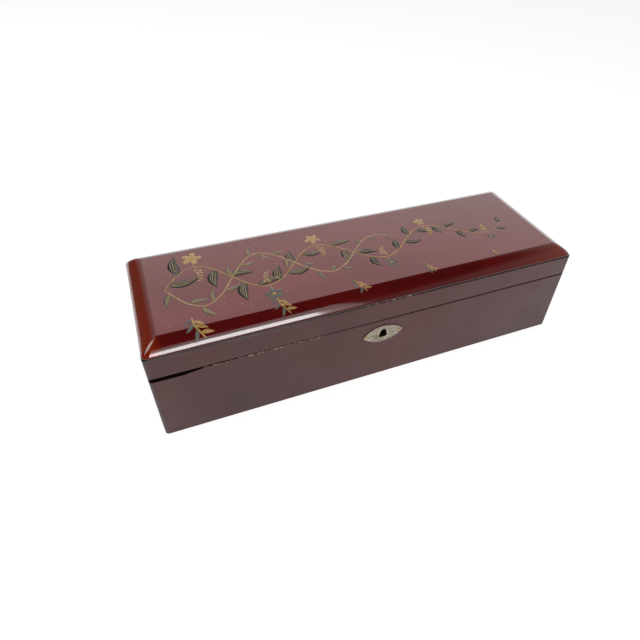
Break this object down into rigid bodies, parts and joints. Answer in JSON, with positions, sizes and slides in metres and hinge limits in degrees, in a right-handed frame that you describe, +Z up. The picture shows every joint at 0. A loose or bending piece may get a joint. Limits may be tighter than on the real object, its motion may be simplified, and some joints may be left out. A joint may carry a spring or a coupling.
{
  "type": "musical glove box",
  "caption": "Long lacquered wooden box with a hinged bevelled lid, a front lock and a wind-up musical movement at one end.",
  "frame": {"origin": "centre of the footprint on the underside", "axes": "+X along the length to the right, -Y the front with the lock, +Z up"},
  "size_m": [0.29, 0.0969, 0.0725],
  "materials": {
    "case_lacquer": "satin lacquer over wood",
    "lid_lacquer": "satin lacquer over wood",
    "lid_top_lacquer": "glossy red lacquer with raised gold decoration",
    "inner_wood": "plain unfinished wood",
    "clear_glass": "clear sheet glass",
    "lining_cloth": "short pile cloth",
    "aged_brass": "aged brass",
    "escutcheon_metal": "stamped and tarnished nickelled plate",
    "steel": "drawn steel",
    "blued_steel": "blued spring steel",
    "comb_steel": "ground steel",
    "zinc_casting": "plated die casting",
    "bright_brass": "turned brass",
    "white_nylon": "moulded nylon"
  },
  "bodies": {
    "case": {"front_wall": "case_lacquer", "back_wall": "case_lacquer", "left_wall": "case_lacquer", "right_wall": "case_lacquer", "bottom_board": "inner_wood", "partition": "inner_wood", "glass_cleats": "inner_wood", "movement_glass": "clear_glass", "tray_pad": "lining_cloth", "tray_lining": "lining_cloth", "left_hinge_case_leaf": "aged_brass", "right_hinge_case_leaf": "aged_brass", "hinge_pins": "aged_brass", "hinge_case_screws": "aged_brass", "escutcheon": "escutcheon_metal", "escutcheon_pins": "aged_brass", "lock_case": "aged_brass", "lock_cover": "aged_brass", "lock_screws": "aged_brass", "lock_bolt_spring": "steel", "bedplate": "zinc_casting", "movement_screws": "steel", "spring_housing": "zinc_casting", "mainspring": "blued_steel", "arbor_bearings": "zinc_casting", "comb": "comb_steel", "comb_screws": "steel", "governor_frame": "zinc_casting", "plunger_bush": "aged_brass", "plunger_spring": "steel", "train_screws": "steel"},
    "lid": {"lid_panel": "lid_top_lacquer", "lid_front_rail": "lid_lacquer", "lid_back_rail": "lid_lacquer", "lid_left_rail": "lid_lacquer", "lid_right_rail": "lid_lacquer", "lid_lining": "lining_cloth", "left_hinge_lid_leaf": "aged_brass", "right_hinge_lid_leaf": "aged_brass", "hinge_lid_screws": "aged_brass", "link_plate": "aged_brass", "link_plate_screws": "aged_brass"},
    "bolt": {"lock_bolt": "steel"},
    "cylinder": {"cylinder_tube": "bright_brass", "cylinder_pins": "steel", "cylinder_caps": "bright_brass", "cylinder_arbor": "steel", "drive_pinion": "bright_brass", "cylinder_wheel": "bright_brass"},
    "great_wheel": {"great_wheel": "bright_brass", "ratchet_click": "steel"},
    "winder": {"winding_arbor": "steel", "ratchet_wheel": "bright_brass", "wing_key": "aged_brass"},
    "governor_wheel": {"governor_wheel": "bright_brass"},
    "fly": {"governor_worm": "steel", "worm_journals": "steel", "air_brake_fly": "white_nylon"},
    "stop_lever": {"stop_lever": "steel"},
    "stop_plunger": {"stop_plunger": "steel"}
  },
  "joints": [
    {"name": "lid_hinge", "type": "hinge", "parent": "case", "child": "lid", "pos_m": [0, 0.0455, 0.05015], "axis": [-1, 0, 0], "range_deg": [0, 100]},
    {"name": "lock_bolt_slide", "type": "slide", "parent": "case", "child": "bolt", "axis": [1, 0, 0], "range_m": [0, 0.0035]},
    {"name": "cylinder_turn", "type": "hinge", "parent": "case", "child": "cylinder", "pos_m": [-0.0985, -0.002, 0.0268], "axis": [1, 0, 0], "continuous": true},
    {"name": "great_wheel_turn", "type": "hinge", "parent": "case", "child": "great_wheel", "pos_m": [-0.1225, -0.002, 0.0205], "axis": [0, 0, 1], "continuous": true},
    {"name": "governor_wheel_turn", "type": "hinge", "parent": "case", "child": "governor_wheel", "pos_m": [-0.083, 0.00725, 0.0268], "axis": [1, 0, 0], "continuous": true},
    {"name": "fly_turn", "type": "hinge", "parent": "case", "child": "fly", "pos_m": [-0.083, 0.01365, 0.0268], "axis": [0, 0, 1], "continuous": true},
    {"name": "winding_turn", "type": "hinge", "parent": "great_wheel", "child": "winder", "pos_m": [-0.1225, -0.002, 0.006], "axis": [0, 0, 1], "range_deg": [0, 1800]},
    {"name": "stop_plunger_slide", "type": "slide", "parent": "case", "child": "stop_plunger", "axis": [0, 0, 1], "range_m": [0, 0.003]},
    {"name": "stop_lever_turn", "type": "hinge", "parent": "case", "child": "stop_lever", "pos_m": [-0.0874, 0.023, 0.036], "axis": [1, 0, 0], "range_deg": [0, 22]}
  ],
  "couplings": [
    {"joint": "great_wheel_turn", "follows": "cylinder_turn", "ratio": 0.33333},
    {"joint": "governor_wheel_turn", "follows": "cylinder_turn", "ratio": -3.6},
    {"joint": "fly_turn", "follows": "cylinder_turn", "ratio": -36},
    {"joint": "stop_plunger_slide", "follows": "lid_hinge", "m_per_rad": 0.0017188},
    {"joint": "stop_lever_turn", "follows": "lid_hinge", "ratio": 0.2199}
  ]
}
